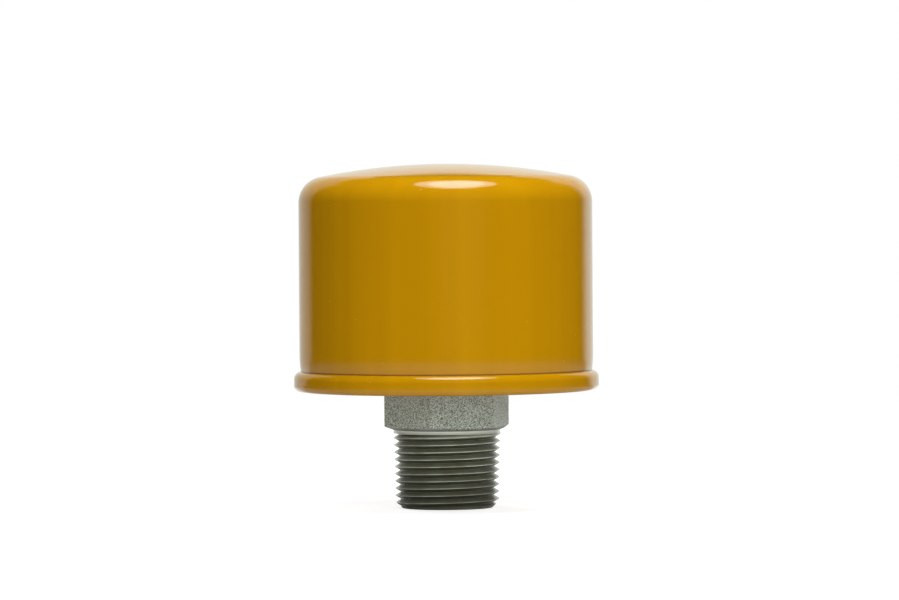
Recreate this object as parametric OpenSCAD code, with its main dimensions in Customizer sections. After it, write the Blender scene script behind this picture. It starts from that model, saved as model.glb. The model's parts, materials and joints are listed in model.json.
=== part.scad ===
// Breather vent cap: a filter element in a seamed sheet-steel can that is pushed on to the riser
// tube of a hexagon nipple with a taper pipe thread.
// Millimetres, +Z up, origin at the centre of the nipple's lower end face.

/* [Hexagon nipple] */
// Length from the end face to the underside of the hexagon
shank_len = 19.8; // [15:0.1:30]
// Crest diameter of the taper thread at its small end
thread_d = 26.03; // [24:0.01:32]
// Length of taper for each unit that the diameter grows
thread_taper = 16; // [12:1:24]
// Pitch of the thread
thread_pitch = 1.814; // [1:0.001:2.4]
// Depth of the thread for each unit of its pitch
thread_share = 0.76; // [0.6:0.01:0.8]
// Diameter of the flat end face
end_face_d = 22.8; // [20:0.1:25]
// Height of the lead-in chamfer above the end face
end_chamfer_h = 1.6; // [0.8:0.1:3]
// Diameter of the plain neck under the hexagon
neck_d = 27; // [25:0.1:30]
// Height of the plain neck
neck_h = 0.9; // [0.6:0.1:3]
// Hexagon size across its flats
hex_af = 28.4; // [26:0.1:40]
// Height of the hexagon
hex_h = 12.9; // [11:0.1:20]
// Turn of the hexagon's corners from the X axis, degrees
hex_turn = 16; // [0:1:59]
// Slope of the chamfer on the hexagon's corners, degrees
hex_chamfer = 19; // [10:1:35]
// Diameter of the flat left inside that chamfer
hex_face_d = 27.2; // [26:0.1:30]
// Diameter of the air bore
bore_d = 15; // [10:0.1:16]

/* [Riser tube] */
// Outside diameter of the tube
tube_d = 19.05; // [17:0.01:22]
// Wall of the tube
tube_wall = 1.2; // [0.8:0.1:1.6]
// Depth that the tube is pressed into the hexagon
tube_seat = 10; // [6:0.1:11]
// Height of the tube above the hexagon
tube_rise = 29.3; // [18:0.1:34]
// Chamfer on the tube's top edge
tube_chamfer = 0.5; // [0.2:0.1:0.7]

/* [Can] */
// Outside diameter of the can
can_d = 74.15; // [66:0.05:90]
// Height from the seam's lower edge to the top of the dome
can_h = 57.2; // [50:0.1:80]
// Sheet thickness of the can
can_sheet = 0.5; // [0.3:0.05:0.8]
// Outside radius of the domed top
dome_r = 162; // [110:1:300]
// Outside radius of the corner between wall and dome
corner_r = 6.65; // [4:0.05:10]
// Amount that the wall is rolled in beside the seam, on the radius
neck_in = 0.3; // [0:0.05:0.5]
// Height above the seam over which the wall is rolled in
neck_zone = 4.5; // [3:0.1:8]

/* [Lid and double seam] */
// Sheet thickness of the lid
lid_sheet = 0.55; // [0.3:0.05:0.8]
// Height of the seam
seam_h = 5; // [4.8:0.1:8]
// Outside radius of the seam's upper shoulder
shoulder_r = 1.9; // [1.75:0.05:2.3]
// Gap between neighbouring layers of the seam
seam_gap = 0.04; // [0.02:0.01:0.06]
// Gap between the end of the lid's hook and the bend of the can's hook
hook_end_gap = 0.3; // [0.1:0.05:0.6]
// Height of the lid's panel above the seam's lower edge
lid_recess = 3.1; // [2.7:0.1:5]
// Inside radius of the bend between panel and seam
lid_bend_r = 1.2; // [0.6:0.1:1.25]
// Inside radius of the bend at the lid's centre collar
collar_bend_r = 0.6; // [0.4:0.1:1.5]
// Height of the centre collar above the panel's underside
collar_h = 3.3; // [2.8:0.1:6]
// Number of vent holes
vents = 16; // [6:1:20]
// Diameter of a vent hole
vent_d = 4.5; // [3:0.1:6]
// Distance from the seam's inner wall to the vents' centres
vent_inset = 4.7; // [4.4:0.1:8]

/* [Rubber grommet] */
// Radial clearance between the grommet's lands and the tube
tube_fit = 0.05; // [0.02:0.01:0.1]
// Radial thickness of the grommet's sleeve
grommet_wall = 2; // [1.5:0.1:3]
// Radial clearance of the grommet in the collar and the element
grommet_fit = 0.05; // [0.02:0.01:0.15]
// Overhang of the flange beyond the sleeve
flange_reach = 3.9; // [2:0.1:6]
// Thickness of the flange
flange_h = 2; // [1:0.1:4]
// Height of the sleeve above the flange
sleeve_h = 5; // [4:0.1:10]
// Distance of the sleeve's lower end above the hexagon
grommet_lift = 0.3; // [0.2:0.1:1]
// Number of sealing lands in the bore
lands = 3; // [2:1:5]
// Height of a land
land_h = 1.6; // [1:0.1:2]
// Depth of the grooves between the lands
land_groove = 0.7; // [0.3:0.1:1.2]

/* [Filter element] */
// Radial air gap between the can and the element
air_gap = 9; // [6:0.1:12]
// Sheet thickness of the two end plates
plate_sheet = 0.4; // [0.3:0.05:0.8]
// Height of the end plates' outer rims
rim_h = 4; // [2:0.1:8]
// Wall of the perforated core
core_wall = 0.6; // [0.4:0.05:1]
// Diameter of a hole in the core
core_hole_d = 3.6; // [2:0.1:4.5]
// Rows of holes up the core
core_rows = 5; // [2:1:6]
// Number of holes in a row
core_holes = 10; // [4:1:12]
// Number of pleats
pleats = 48; // [24:2:60]
// Thickness of the filter paper
media_t = 0.5; // [0.3:0.05:0.7]
// Radial gap between the element's own rings
ring_gap = 0.2; // [0.1:0.05:0.4]

/* [Hold-down spring] */
// Height of the spring between the element and the dome
spring_h = 9.9; // [8:0.1:16]
// Diameter of the spring's wire
wire_d = 1.8; // [1:0.1:2]
// Number of turns
spring_turns = 3.5; // [2:0.5:4]
// Mean diameter of the lowest turn
spring_base_d = 30; // [24:0.1:40]
// Mean diameter of the highest turn
spring_top_d = 17; // [12:0.1:20]
// Clearance of the spring at each end
spring_fit = 0.05; // [0.02:0.01:0.2]
// Height of the round boss that centres the spring
spring_boss_h = 1.4; // [0.8:0.1:2]
// Radial clearance between the boss and the spring
spring_boss_fit = 0.4; // [0.2:0.1:1]

/* [Hidden] */

$fn = 128;
// Straight steps in a bend of the sheet
bend_steps = 8;
// Overshoot of a cut past the faces that it goes through
past = 1;

amber_enamel = [0.74, 0.53, 0.02];
zinc_plate = [0.56, 0.58, 0.53];
bright_steel = [0.70, 0.71, 0.72];
black_rubber = [0.05, 0.05, 0.055];
filter_paper = [0.86, 0.79, 0.60];

// Levels of the nipple and the tube
hex_top_z = shank_len + hex_h;
tube_foot_z = hex_top_z - tube_seat;
tube_top_z = hex_top_z + tube_rise;
tube_r = tube_d / 2;
thread_top_z = shank_len - neck_h;
thread_depth = thread_share * thread_pitch;
// Width of the flats that a sixty-degree groove leaves at its root and on the crest
thread_flat = thread_pitch / 2 - thread_depth * tan(30);
hex_corner_r = hex_af / 2 / cos(30);

// Levels and layers of the double seam, from the inside outwards
seam_bottom_z = hex_top_z - lid_recess;
seam_top_z = seam_bottom_z + seam_h;
wall_out_r = can_d / 2 - neck_in;
wall_in_r = wall_out_r - can_sheet;
chuck_out_r = wall_in_r - seam_gap;
chuck_in_r = chuck_out_r - lid_sheet;
lid_hook_in_r = wall_out_r + seam_gap;
lid_hook_out_r = lid_hook_in_r + lid_sheet;
can_hook_in_r = lid_hook_out_r + seam_gap;
can_hook_out_r = can_hook_in_r + can_sheet;
wrap_in_r = can_hook_out_r + seam_gap;
wrap_out_r = wrap_in_r + lid_sheet;
// All the bends at the seam's foot share one centre
foot_r = (chuck_in_r + wrap_out_r) / 2;
foot_z = seam_bottom_z + wrap_out_r - foot_r;
shoulder = [wrap_out_r - shoulder_r, seam_top_z - shoulder_r];
shoulder_in_r = shoulder_r - lid_sheet;

// The can's dome and corner
top_z = seam_bottom_z + can_h;
dome_z = top_z - dome_r;
corner_in = can_d / 2 - corner_r;
corner_z = dome_z + sqrt(pow(dome_r - corner_r, 2) - pow(corner_in, 2));
// Height of the dome's inner face at a distance from the axis
function dome_inside_z(r) = dome_z + sqrt(pow(dome_r - can_sheet, 2) - pow(r, 2));

// The lid's panel and collar
panel_top_z = hex_top_z + lid_sheet;
grommet_bore_r = tube_r + tube_fit;
sleeve_r = grommet_bore_r + grommet_wall;
collar_in_r = sleeve_r + grommet_fit;
collar_out_r = collar_in_r + lid_sheet;
collar_top_z = hex_top_z + collar_h;
vent_ring_r = chuck_in_r - vent_inset;

// Levels and rings of the filter element
element_z = collar_top_z + flange_h;
element_top_z = dome_inside_z(0) - spring_h;
plate_r = can_d / 2 - can_sheet - air_gap;
plate_hole_r = sleeve_r + grommet_fit;
core_in_r = plate_hole_r + plate_sheet + ring_gap;
core_out_r = core_in_r + core_wall;
media_in_r = core_out_r + ring_gap;
media_out_r = plate_r - plate_sheet - ring_gap;
pleat_z = element_z + plate_sheet;
pleat_top_z = element_top_z - plate_sheet;
spring_boss_r = (spring_base_d - wire_d) / 2 - spring_boss_fit;

// Points along an arc from angle a to angle b
function arc(centre, r, a, b, steps = bend_steps) =
    [for (i = [0:steps]) let (t = a + (b - a) * i / steps) centre + r * [cos(t), sin(t)]];

// A point at radius r and angle a
function polar(r, a) = r * [cos(a), sin(a)];

// Forged hexagon with a chamfered top and bottom, a taper shank below, and an air bore that
// opens into the seat of the riser tube
module hex_nipple() {
    chamfer_r = hex_corner_r + past;
    chamfer_h = (chamfer_r - hex_face_d / 2) * tan(hex_chamfer);
    color(zinc_plate) difference() {
        union() {
            intersection() {
                translate([0, 0, shank_len]) rotate(hex_turn)
                    cylinder(r = hex_corner_r, h = hex_h, $fn = 6);
                rotate_extrude() polygon([
                    [0, shank_len],
                    [hex_face_d / 2, shank_len],
                    [chamfer_r, shank_len + chamfer_h],
                    [chamfer_r, hex_top_z - chamfer_h],
                    [hex_face_d / 2, hex_top_z],
                    [0, hex_top_z]
                ]);
            }
            taper_shank();
        }
        translate([0, 0, -past]) cylinder(d = bore_d, h = hex_top_z + 2 * past);
        translate([0, 0, tube_foot_z]) cylinder(r = tube_r, h = tube_seat + past);
    }
}

// The taper shank up to its plain neck: the thread as rings of its pitch and depth, trimmed by the
// lead-in chamfer
module taper_shank() {
    function crest_r(z) = (thread_d + z / thread_taper) / 2;
    groove_half = thread_flat / 2 + thread_depth * tan(30);
    grooves = [for (z = [thread_pitch / 2:thread_pitch:thread_top_z - groove_half]) each [
        [crest_r(z - groove_half), z - groove_half],
        [crest_r(z) - thread_depth, z - thread_flat / 2],
        [crest_r(z) - thread_depth, z + thread_flat / 2],
        [crest_r(z + groove_half), z + groove_half]
    ]];
    end_r = end_face_d / 2;
    chamfer_slope = end_chamfer_h / (crest_r(end_chamfer_h) - end_r);
    clear_r = crest_r(shank_len) + past;
    // The neck runs up inside the hexagon to its middle
    core_top_z = shank_len + hex_h / 2;
    rotate_extrude() intersection() {
        polygon(concat(
            [[0, 0], [crest_r(0), 0]],
            grooves,
            [
                [crest_r(thread_top_z), thread_top_z],
                [neck_d / 2, thread_top_z],
                [neck_d / 2, core_top_z],
                [0, core_top_z]
            ]
        ));
        polygon([
            [0, 0],
            [end_r, 0],
            [clear_r, (clear_r - end_r) * chamfer_slope],
            [clear_r, core_top_z],
            [0, core_top_z]
        ]);
    }
}

// Drawn tube, pressed into the hexagon, with its top edge chamfered for the cap
module breather_tube() {
    bore_r = tube_r - tube_wall;
    color(bright_steel) rotate_extrude() polygon([
        [bore_r, tube_foot_z],
        [tube_r, tube_foot_z],
        [tube_r, tube_top_z - tube_chamfer],
        [tube_r - tube_chamfer, tube_top_z],
        [bore_r, tube_top_z]
    ]);
}

// Half section of the can, filled, set in from its outside by the amount given: the wall's outline,
// rolled in beside the seam, cut off by the dome's circle and rounded at the corner
module can_half(inset) {
    reach = 2 * corner_r;
    wall_r = can_d / 2 - inset;
    lean = atan2(corner_z - dome_z, corner_in);
    corner = [corner_in, corner_z];
    rolled = [for (i = [bend_steps:-1:0]) let (t = i / bend_steps)
        [wall_r - neck_in * t * t, seam_top_z + neck_zone * (1 - t)]];
    difference() {
        intersection() {
            polygon(concat(
                [[0, top_z], [0, foot_z], [wall_r - neck_in, foot_z]],
                rolled,
                [[wall_r, top_z]]
            ));
            translate([0, dome_z]) circle(r = dome_r - inset, $fn = 720);
        }
        difference() {
            polygon([corner, corner + [reach, 0], corner + [reach, reach], corner + polar(reach, lean)]);
            translate(corner) circle(r = corner_r - inset);
        }
    }
}

// Drawn can: dome, corner and wall in one sheet, with its lower edge turned out and up as the
// hook that the lid's rim is rolled round
module cap_shell() {
    hook_top_z = shoulder[1];
    foot = [foot_r, foot_z];
    // The hook runs up into the wall that it grows from
    lap_z = foot_z + can_sheet;
    color(amber_enamel) rotate_extrude() union() {
        difference() {
            can_half(0);
            can_half(can_sheet);
        }
        polygon(concat(
            [[wall_out_r, lap_z], [wall_in_r, lap_z]],
            arc(foot, foot_r - wall_in_r, 180, 360),
            [[can_hook_out_r, hook_top_z], [can_hook_in_r, hook_top_z]],
            arc(foot, foot_r - wall_out_r, 360, 180)
        ));
    }
}

// Seaming lid: recessed panel with a drawn centre collar and a ring of vent holes, and a rim
// that is rolled under, round and into the hook of the can
module base_lid() {
    foot = [foot_r, foot_z];
    bend = [chuck_in_r - lid_bend_r, hex_top_z - lid_bend_r];
    collar_bend = [collar_out_r + collar_bend_r, panel_top_z + collar_bend_r];
    hook_foot_z = foot_z + hook_end_gap;
    color(amber_enamel) difference() {
        rotate_extrude() polygon(concat(
            [[collar_in_r, collar_top_z]],
            arc(collar_bend, collar_bend_r + lid_sheet, 180, 270),
            arc(bend, lid_bend_r, 90, 0),
            arc(foot, foot_r - chuck_in_r, 180, 360, 2 * bend_steps),
            arc(shoulder, shoulder_r, 0, acos((lid_hook_in_r - shoulder[0]) / shoulder_r)),
            [[lid_hook_in_r, hook_foot_z], [lid_hook_out_r, hook_foot_z]],
            arc(shoulder, shoulder_in_r, acos((lid_hook_out_r - shoulder[0]) / shoulder_in_r), 0),
            arc(foot, foot_r - chuck_out_r, 360, 180, 2 * bend_steps),
            arc(bend, lid_bend_r + lid_sheet, 0, 90),
            arc(collar_bend, collar_bend_r, 270, 180),
            [[collar_out_r, collar_top_z]]
        ));
        for (i = [0:vents - 1]) rotate(360 / vents * (i + 0.5))
            translate([vent_ring_r, 0, hex_top_z - past])
                cylinder(d = vent_d, h = lid_sheet + 2 * past, $fn = 48);
    }
}

// Moulded bush that grips the tube on its lands: it stands in the lid's collar, its flange lies
// on the collar's edge, and its upper sleeve centres the filter element
module tube_grommet() {
    foot_level = hex_top_z + grommet_lift;
    head_level = element_z + sleeve_h;
    groove_r = grommet_bore_r + land_groove;
    step = (head_level - foot_level - land_h) / (lands - 1);
    lead = land_groove;
    grooves = [for (i = [0:lands - 2]) each let (low = foot_level + i * step + land_h) [
        [grommet_bore_r, low],
        [groove_r, low + land_groove],
        [groove_r, low + step - land_h - land_groove],
        [grommet_bore_r, low + step - land_h]
    ]];
    color(black_rubber) rotate_extrude() polygon(concat(
        [[grommet_bore_r, foot_level]],
        grooves,
        [
            [grommet_bore_r, head_level],
            [sleeve_r - lead, head_level],
            [sleeve_r, head_level - lead],
            [sleeve_r, element_z],
            [sleeve_r + flange_reach, element_z],
            [sleeve_r + flange_reach, collar_top_z],
            [sleeve_r, collar_top_z],
            [sleeve_r, foot_level]
        ]
    ));
}

// Pressed cup under the element, with a raised rim outside and a raised collar round the grommet
module lower_end_plate() {
    plate_top = element_z + plate_sheet;
    color(bright_steel) rotate_extrude() polygon([
        [plate_hole_r, element_z],
        [plate_r, element_z],
        [plate_r, element_z + rim_h],
        [plate_r - plate_sheet, element_z + rim_h],
        [plate_r - plate_sheet, plate_top],
        [plate_hole_r + plate_sheet, plate_top],
        [plate_hole_r + plate_sheet, element_z + rim_h],
        [plate_hole_r, element_z + rim_h]
    ]);
}

// Rolled tube with rows of round holes, each row turned half a step from the last
module core_tube() {
    first_z = element_z + rim_h + core_hole_d;
    last_z = pleat_top_z - rim_h - core_hole_d;
    color(bright_steel) difference() {
        translate([0, 0, pleat_z]) difference() {
            cylinder(r = core_out_r, h = pleat_top_z - pleat_z);
            translate([0, 0, -past]) cylinder(r = core_in_r, h = pleat_top_z - pleat_z + 2 * past);
        }
        for (row = [0:core_rows - 1], i = [0:core_holes - 1])
            translate([0, 0, first_z + (last_z - first_z) * row / (core_rows - 1)])
                rotate([0, 90, 360 / core_holes * (i + (row % 2) / 2)])
                    translate([0, 0, core_in_r - past])
                        cylinder(d = core_hole_d, h = core_wall + 2 * past, $fn = 32);
    }
}

// Half the angle that a fold takes at radius r, so that the gaps on its two sides are equal
function half_fold(r) = (180 / pleats + media_t / r * 180 / PI) / 2;

// One closed zigzag: folds of half angle tip at radius out_r, and of half angle root at in_r
function zigzag(out_r, tip, in_r, root) = [for (i = [0:pleats - 1])
    each let (mid = 360 / pleats * i, between = mid + 180 / pleats) [
        polar(out_r, mid - tip),
        polar(out_r, mid + tip),
        polar(in_r, between - root),
        polar(in_r, between + root)
    ]];

// Ring of filter paper, folded to and fro between the core and the end plates' rims
module filter_media() {
    sheet_turn = media_t * 180 / PI;
    outer_tip = half_fold(media_out_r);
    inner_tip = half_fold(media_in_r);
    outer_face = zigzag(
        media_out_r, outer_tip, media_in_r + media_t, inner_tip - sheet_turn / media_in_r);
    inner_face = zigzag(
        media_out_r - media_t, outer_tip - sheet_turn / media_out_r, media_in_r, inner_tip);
    color(filter_paper) translate([0, 0, pleat_z])
        linear_extrude(height = pleat_top_z - pleat_z) difference() {
            polygon(outer_face);
            polygon(inner_face);
        }
}

// Pressed cup that closes the element, with a round boss inside the spring
module upper_end_plate() {
    boss_z = element_top_z + spring_boss_h;
    color(bright_steel) rotate_extrude() polygon([
        [0, boss_z - plate_sheet],
        [spring_boss_r - spring_boss_h - plate_sheet / 2, boss_z - plate_sheet],
        [spring_boss_r - plate_sheet / 2, pleat_top_z],
        [plate_r - plate_sheet, pleat_top_z],
        [plate_r - plate_sheet, element_top_z - rim_h],
        [plate_r, element_top_z - rim_h],
        [plate_r, element_top_z],
        [spring_boss_r, element_top_z],
        [spring_boss_r - spring_boss_h, boss_z],
        [0, boss_z]
    ]);
}

// Conical wire spring: the turns lie flat on the plate and under the dome and rise in between
module hold_down_spring() {
    wire_r = wire_d / 2;
    low_z = element_top_z + spring_fit + wire_r;
    high_z = dome_inside_z(spring_top_d / 2 + wire_r) - spring_fit - wire_r;
    rings_a_turn = 18;
    sides = 8;
    rings = round(spring_turns * rings_a_turn);
    flat = 0.5 / spring_turns;
    wire_ring = function(i) let (
        t = i / rings,
        rise = max(0, min(1, (t - flat) / (1 - 2 * flat))),
        r = (spring_base_d + (spring_top_d - spring_base_d) * rise) / 2,
        z = low_z + (high_z - low_z) * rise,
        turn = 360 * spring_turns * t
    ) [for (k = [0:sides - 1]) let (a = 360 / sides * k)
        concat(polar(r + wire_r * cos(a), turn), z + wire_r * sin(a))];
    points = [for (i = [0:rings]) each wire_ring(i)];
    skin = [for (i = [0:rings - 1], k = [0:sides - 1])
        let (a = i * sides + k, b = i * sides + (k + 1) % sides)
        each [[a, b, b + sides], [a, b + sides, a + sides]]];
    ends = [
        [for (k = [sides - 1:-1:0]) k],
        [for (k = [0:sides - 1]) rings * sides + k]
    ];
    color(bright_steel) polyhedron(points, concat(skin, ends), convexity = 6);
}

hex_nipple();
breather_tube();
cap_shell();
base_lid();
tube_grommet();
lower_end_plate();
core_tube();
filter_media();
upper_end_plate();
hold_down_spring();
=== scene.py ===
"""Looks of the breather vent cap: a filter can pushed on to the riser tube of a pipe nipple.

Metres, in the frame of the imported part: +Z up, the photograph is taken looking along +Y.
"""
import json
import math

import bmesh
import bpy
from mathutils import Matrix, Vector

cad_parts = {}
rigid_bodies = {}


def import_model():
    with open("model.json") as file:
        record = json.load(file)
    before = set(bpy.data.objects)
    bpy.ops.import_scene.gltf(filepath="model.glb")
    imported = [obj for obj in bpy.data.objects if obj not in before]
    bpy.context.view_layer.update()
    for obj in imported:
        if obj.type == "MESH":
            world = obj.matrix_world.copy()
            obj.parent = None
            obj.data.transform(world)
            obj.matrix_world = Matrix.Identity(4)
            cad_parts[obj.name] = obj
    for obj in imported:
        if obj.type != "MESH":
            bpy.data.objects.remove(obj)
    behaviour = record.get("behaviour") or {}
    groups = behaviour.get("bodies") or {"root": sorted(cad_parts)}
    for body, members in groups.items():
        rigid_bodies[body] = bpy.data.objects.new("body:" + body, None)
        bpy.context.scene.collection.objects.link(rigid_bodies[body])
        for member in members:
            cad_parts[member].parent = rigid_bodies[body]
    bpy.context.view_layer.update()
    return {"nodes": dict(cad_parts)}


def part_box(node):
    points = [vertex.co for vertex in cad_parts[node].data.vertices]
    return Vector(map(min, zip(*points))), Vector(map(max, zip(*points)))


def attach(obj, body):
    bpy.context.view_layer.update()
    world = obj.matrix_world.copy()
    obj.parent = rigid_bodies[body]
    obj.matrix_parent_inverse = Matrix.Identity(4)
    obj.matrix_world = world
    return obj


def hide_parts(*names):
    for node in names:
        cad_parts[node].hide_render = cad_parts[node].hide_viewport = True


for leftover in list(bpy.data.objects):
    bpy.data.objects.remove(leftover)
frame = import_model()


# Hexagon nipple: a forged steel hexagon with a taper pipe thread cut on the shank below it and a
# bore for the air. It is zinc plated; the forged flats stay grainy and the crests are rubbed bright with a
# painted highlight, and light and shade are painted on the thread, the neck and the hexagon's lower edge.
MM = 0.001
nipple_low, nipple_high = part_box("hex_nipple")
tube_low, tube_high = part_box("breather_tube")
hex_top = nipple_high.z
hex_height = 12.9 * MM
hex_base = hex_top - hex_height
hex_flats = 28.4 * MM
hex_turn = math.radians(16)
hex_corner_radius = 0.45 * MM
hex_face_radius = 13.6 * MM
hex_chamfer = math.radians(19)
edge_ease = 0.12 * MM
neck_radius = 13.5 * MM
neck_foot = hex_base - 0.9 * MM
end_face_radius = 11.4 * MM
lead_chamfer = 1.6 * MM
air_bore_radius = 7.5 * MM
tube_radius = tube_high.x
thread_pitch = 25.4 * MM / 14
thread_taper = 1 / 32
thread_small_radius = 13.015 * MM
thread_crest_height = 0.461 * MM
thread_columns = 240
thread_depth = 1.38 * MM
rows_a_pitch = 16
column_gather = 0.85
merge_reach = 0.004 * MM
forged_dark = (0.17, 0.205, 0.17, 1)
forged_light = (0.86, 0.98, 0.87, 1)
forged_pit = (0.14, 0.165, 0.13, 1)
forged_point = (0.94, 1.0, 0.94, 1)
forged_rust = (0.42, 0.36, 0.25, 1)
hexagon_foot_shade = (0.10, 0.09, 0.055, 1)
neck_pale_and_reflection = (0.98, 1.0, 0.87, 1)
lower_flank_shaded = (0.077, 0.090, 0.049, 1), (0.126, 0.142, 0.086, 1)
upper_flank = (0.312, 0.354, 0.222, 1), (0.43, 0.478, 0.32, 1)
flank_rust = (0.33, 0.29, 0.16, 1)
root_shade = (0.07, 0.07, 0.05, 1)
crest_wear_and_glint = (0.92, 0.97, 0.86, 1)
foot_shade = (0.07, 0.075, 0.05, 1)
foot_shade_height = 15 * MM


def add_node(tree, kind, sockets=None, **options):
    """Add a node, set its options, and set or link its inputs by name or number."""
    node = tree.nodes.new(kind)
    for option, value in options.items():
        setattr(node, option, value)
    for key, value in (sockets or {}).items():
        if isinstance(value, bpy.types.NodeSocket):
            tree.links.new(value, node.inputs[key])
        else:
            node.inputs[key].default_value = value
    return node


def calc(tree, operation, *terms):
    """One sum of the Math node."""
    return add_node(tree, "ShaderNodeMath", dict(enumerate(terms)), operation=operation).outputs[0]


def ramp(tree, value, low, high, start=0.0, end=1.0, smooth=True):
    """A value taken from low..high to start..end and held at both ends."""
    kind = "SMOOTHSTEP" if smooth else "LINEAR"
    sockets = {0: value, 1: low, 2: high, 3: start, 4: end}
    return add_node(tree, "ShaderNodeMapRange", sockets, interpolation_type=kind).outputs[0]


def new_tree(name, kind, inputs, outputs):
    """A node tree with named sockets, and its input and output nodes."""
    tree = bpy.data.node_groups.new(name, kind)
    for label, socket in inputs.items():
        tree.interface.new_socket(label, in_out="INPUT", socket_type=socket)
    for label, socket in outputs.items():
        tree.interface.new_socket(label, in_out="OUTPUT", socket_type=socket)
    return tree, tree.nodes.new("NodeGroupInput").outputs, tree.nodes.new("NodeGroupOutput").inputs


def surface_grain():
    """Two noises on the piece's own place: fine grain, and broad clouds some ten grains wide."""
    tree, given, put = new_tree(
        "surface_grain", "ShaderNodeTree",
        {"Grain Size": "NodeSocketFloat", "Upright Stretch": "NodeSocketFloat"},
        {"Fine": "NodeSocketFloat", "Broad": "NodeSocketFloat"})
    place = add_node(tree, "ShaderNodeTexCoord").outputs["Object"]
    across = calc(tree, "DIVIDE", 1.0, given["Grain Size"])
    upright = calc(tree, "DIVIDE", across, given["Upright Stretch"])
    spread = add_node(tree, "ShaderNodeCombineXYZ", {0: across, 1: across, 2: upright}).outputs[0]
    scaled = add_node(tree, "ShaderNodeVectorMath", {0: place, 1: spread}, operation="MULTIPLY").outputs[0]
    fine = add_node(tree, "ShaderNodeTexNoise",
                    {"Vector": scaled, "Scale": 1.0, "Detail": 3.0, "Roughness": 0.6})
    broad = add_node(tree, "ShaderNodeTexNoise",
                     {"Vector": scaled, "Scale": 0.1, "Detail": 2.0, "Roughness": 0.5})
    tree.links.new(ramp(tree, fine.outputs[0], 0.3, 0.7, smooth=False), put["Fine"])
    tree.links.new(ramp(tree, broad.outputs[0], 0.3, 0.7, smooth=False), put["Broad"])
    return tree


def dust_specks():
    """Scattered round specks: one in each cell of the spacing, of which only a share is kept."""
    tree, given, put = new_tree(
        "dust_specks", "ShaderNodeTree",
        {"Spacing": "NodeSocketFloat", "Speck Radius": "NodeSocketFloat", "Share": "NodeSocketFloat"},
        {"Mask": "NodeSocketFloat"})
    place = add_node(tree, "ShaderNodeTexCoord").outputs["Object"]
    cells = add_node(tree, "ShaderNodeTexVoronoi",
                     {"Vector": place, "Scale": calc(tree, "DIVIDE", 1.0, given["Spacing"])})
    chance = add_node(tree, "ShaderNodeSeparateColor", {0: cells.outputs["Color"]}).outputs[0]
    kept = calc(tree, "LESS_THAN", chance, given["Share"])
    reach = calc(tree, "DIVIDE", given["Speck Radius"], given["Spacing"])
    inside = calc(tree, "LESS_THAN", cells.outputs["Distance"], reach)
    tree.links.new(calc(tree, "MULTIPLY", kept, inside), put["Mask"])
    return tree


grain_group = surface_grain()
speck_group = dust_specks()


def new_material(name, even):
    """A material with the values that are even all over it, its tree, and its shader's inputs."""
    material = bpy.data.materials.new(name)
    material.use_nodes = True
    shader = material.node_tree.nodes["Principled BSDF"].inputs
    for label, value in even.items():
        shader[label].default_value = value
    return material, material.node_tree, shader


def use_group(tree, group, values):
    """Place a shader group in a material with its own values."""
    node = add_node(tree, "ShaderNodeGroup", node_tree=group)
    for label, value in values.items():
        node.inputs[label].default_value = value
    return node.outputs


def mix_colours(tree, factor, first, second):
    """The first colour going over to the second as the factor goes from 0 to 1."""
    return add_node(tree, "ShaderNodeMix", {0: factor, 6: first, 7: second}, data_type="RGBA").outputs[2]


def bump(tree, shader, height, distance):
    """Raise the surface's shading by a height of 0..1 times the distance."""
    node = add_node(tree, "ShaderNodeBump", {"Height": height, "Distance": distance, "Strength": 1.0})
    tree.links.new(node.outputs[0], shader["Normal"])


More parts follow.
